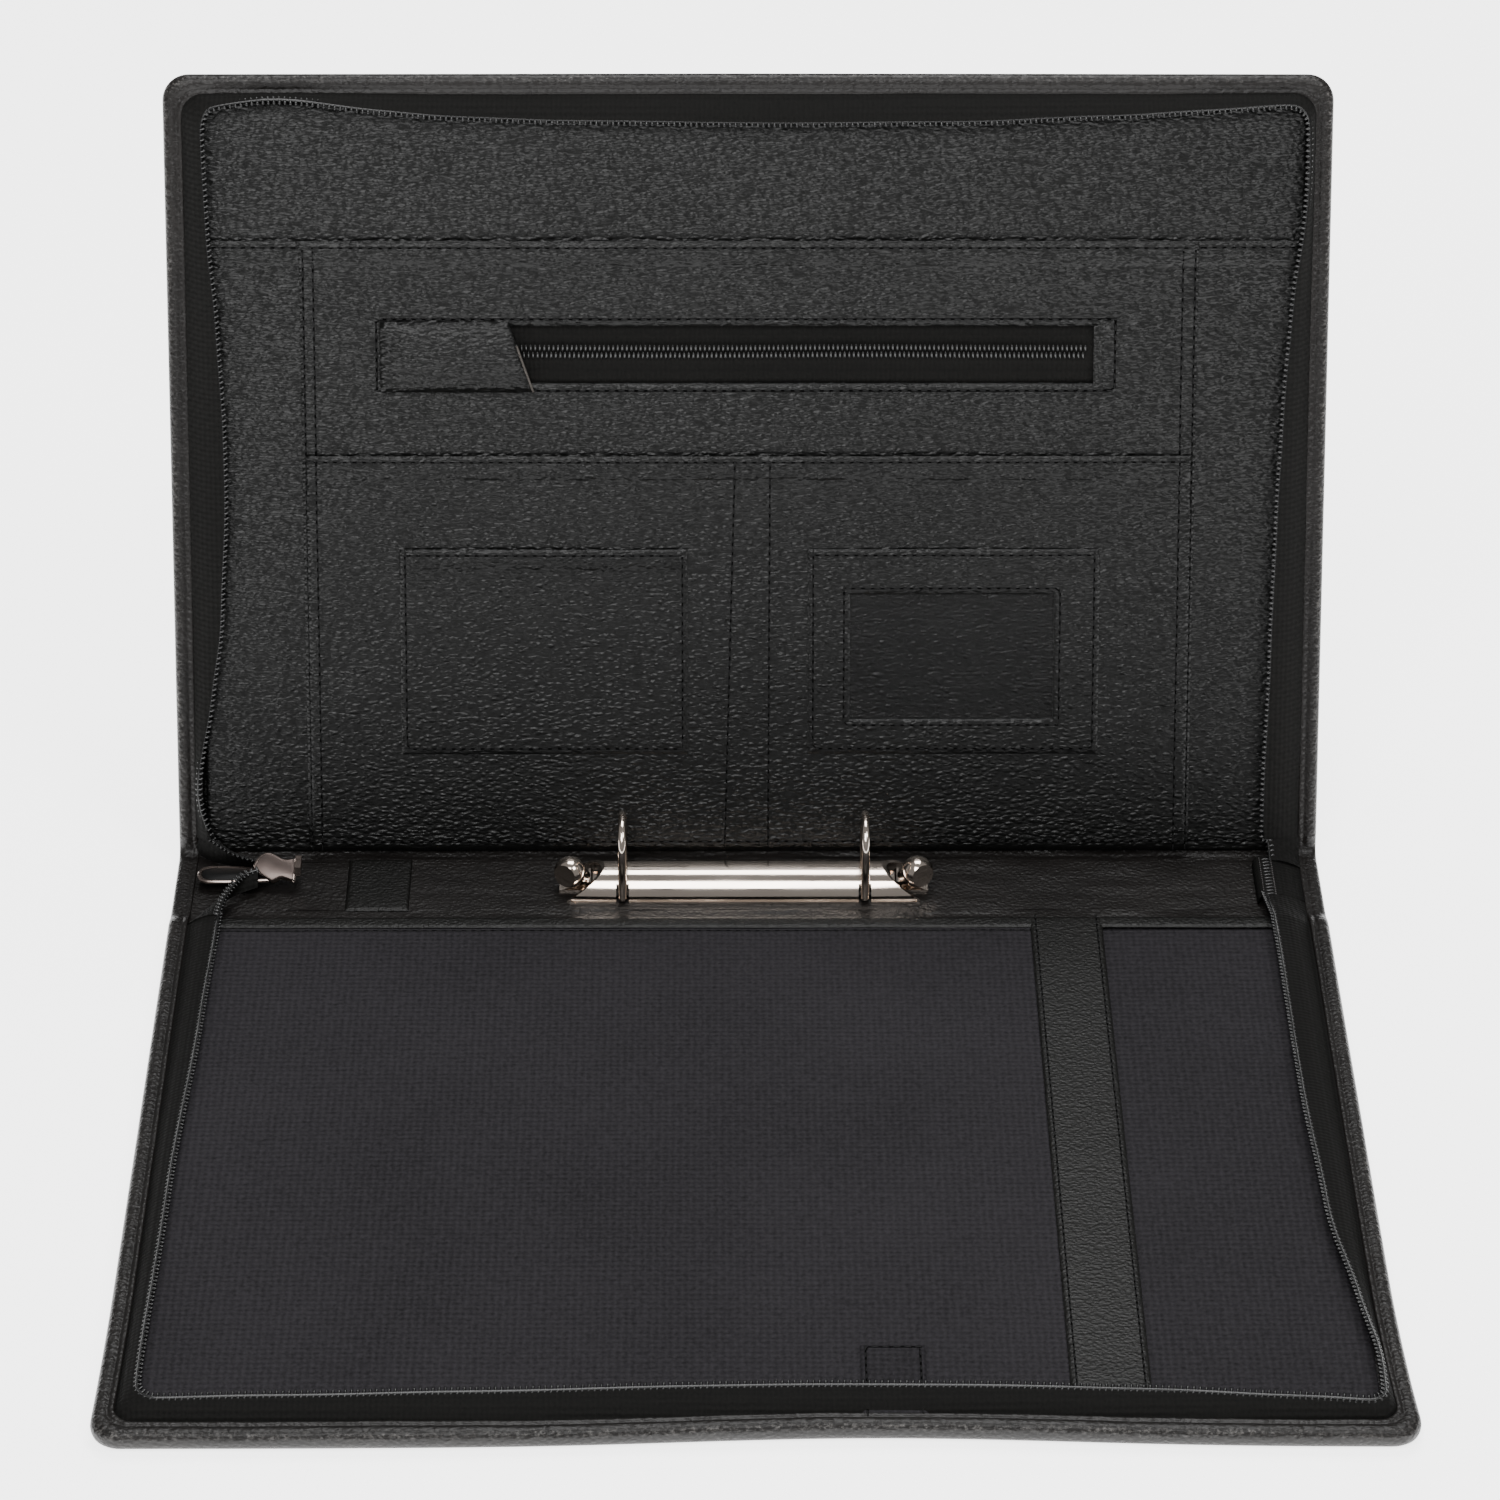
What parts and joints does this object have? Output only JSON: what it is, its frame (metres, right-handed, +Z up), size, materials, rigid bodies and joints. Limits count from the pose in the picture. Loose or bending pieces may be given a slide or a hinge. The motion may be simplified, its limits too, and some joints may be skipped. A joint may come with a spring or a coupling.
{
  "type": "portfolio case",
  "caption": "Zip-round leather portfolio case standing open: flat base tray, ring mechanism on the spine, and a leaning lid with document, card and zipped pockets.",
  "frame": {"origin": "middle of the base panel's underside, on the surface the case lies on", "axes": "+X to the right along the spine, +Y from the base towards the spine and lid, +Z up"},
  "size_m": [0.38, 0.3953, 0.2442],
  "materials": {
    "black_leather": "grained, semi-matte",
    "lining_leather": "fine pebble grain, matte",
    "woven_lining": "plain weave nylon",
    "padding": "thin foam",
    "board": "grey board",
    "zip_tape": "ribbed woven tape",
    "zip_coil": "nylon coil",
    "clear_film": "clear film",
    "elastic": "woven elastic",
    "chrome": "polished",
    "steel": "plain",
    "nickel": "nickel, polished"
  },
  "bodies": {
    "base": {"base_cover": "black_leather", "base_padding": "padding", "base_board": "board", "base_lining": "woven_lining", "base_zip_tape": "zip_tape", "base_zip_chain": "zip_coil", "base_pocket": "woven_lining", "base_pocket_trim": "lining_leather", "base_pen_tab": "lining_leather"},
    "spine": {"spine_cover": "black_leather", "spine_stiffener": "board", "spine_lining": "lining_leather", "pen_loop": "elastic", "ring_cover_plate": "chrome", "mounting_posts": "chrome", "zip_tail_chain_front": "zip_coil", "zip_tail_chain_rear": "zip_coil", "zip_tail_tape_front": "zip_tape", "zip_tail_tape_rear": "zip_tape", "zip_end_stop": "nickel", "zip_closed_end_tape": "zip_tape", "zip_closed_end_chain": "zip_coil"},
    "lid": {"lid_cover": "black_leather", "lid_padding": "padding", "lid_board": "board", "lid_lining": "lining_leather", "lid_zip_tape": "zip_tape", "lid_zip_chain": "zip_coil", "document_pocket": "lining_leather", "organiser_panel": "lining_leather", "notes_pocket": "lining_leather", "card_pocket": "lining_leather", "id_pocket": "lining_leather", "id_window": "clear_film", "inner_zip_tape": "zip_tape", "inner_zip_chain": "zip_coil", "inner_zip_end_tab": "lining_leather", "inner_zip_garage": "lining_leather"},
    "ring_front": {"ring_rail_front": "steel", "ring_half_front_left": "chrome", "ring_half_front_right": "chrome"},
    "ring_rear": {"ring_rail_rear": "steel", "ring_half_rear_left": "chrome", "ring_half_rear_right": "chrome"},
    "lever_left": {"lever_left": "chrome"},
    "lever_right": {"lever_right": "chrome"},
    "zip_slider": {"zip_slider": "nickel"},
    "zip_pull": {"zip_pull": "nickel"},
    "inner_zip_slider": {"inner_zip_slider": "nickel", "inner_zip_pull": "nickel"}
  },
  "joints": [
    {"name": "spine_fold", "type": "hinge", "parent": "base", "child": "spine", "pos_m": [0, 0.13, 0.0006], "axis": [-1, 0, 0], "range_deg": [-90, 0]},
    {"name": "lid_fold", "type": "hinge", "parent": "spine", "child": "lid", "pos_m": [0, 0.17, 0.0006], "axis": [-1, 0, 0], "range_deg": [-21.5, 68.5]},
    {"name": "lever_left", "type": "hinge", "parent": "spine", "child": "lever_left", "pos_m": [-0.0526, 0.1489, 0.006], "axis": [0, -1, 0], "range_deg": [0, 8]},
    {"name": "lever_right", "type": "hinge", "parent": "spine", "child": "lever_right", "pos_m": [0.0494, 0.1489, 0.006], "axis": [0, 1, 0], "range_deg": [0, 8]},
    {"name": "ring_front", "type": "hinge", "parent": "spine", "child": "ring_front", "pos_m": [-0.0016, 0.1403, 0.0046], "axis": [1, 0, 0], "range_deg": [0, 14]},
    {"name": "ring_rear", "type": "hinge", "parent": "spine", "child": "ring_rear", "pos_m": [-0.0016, 0.1575, 0.0046], "axis": [-1, 0, 0], "range_deg": [0, 14]},
    {"name": "zip_slide", "type": "slide", "parent": "spine", "child": "zip_slider", "axis": [-1, 0, 0], "range_m": [0, 0.008]},
    {"name": "pull_hinge", "type": "hinge", "parent": "zip_slider", "child": "zip_pull", "pos_m": [-0.159, 0.15, 0.0063], "axis": [0, 1, 0], "range_deg": [0, 5]},
    {"name": "inner_zip_slide", "type": "slide", "parent": "lid", "child": "inner_zip_slider", "axis": [1, 0, 0], "range_m": [0, 0.205]}
  ],
  "couplings": [
    {"joint": "lever_right", "follows": "lever_left", "ratio": 1},
    {"joint": "ring_front", "follows": "lever_left", "ratio": 1.75},
    {"joint": "ring_rear", "follows": "lever_left", "ratio": 1.75}
  ]
}
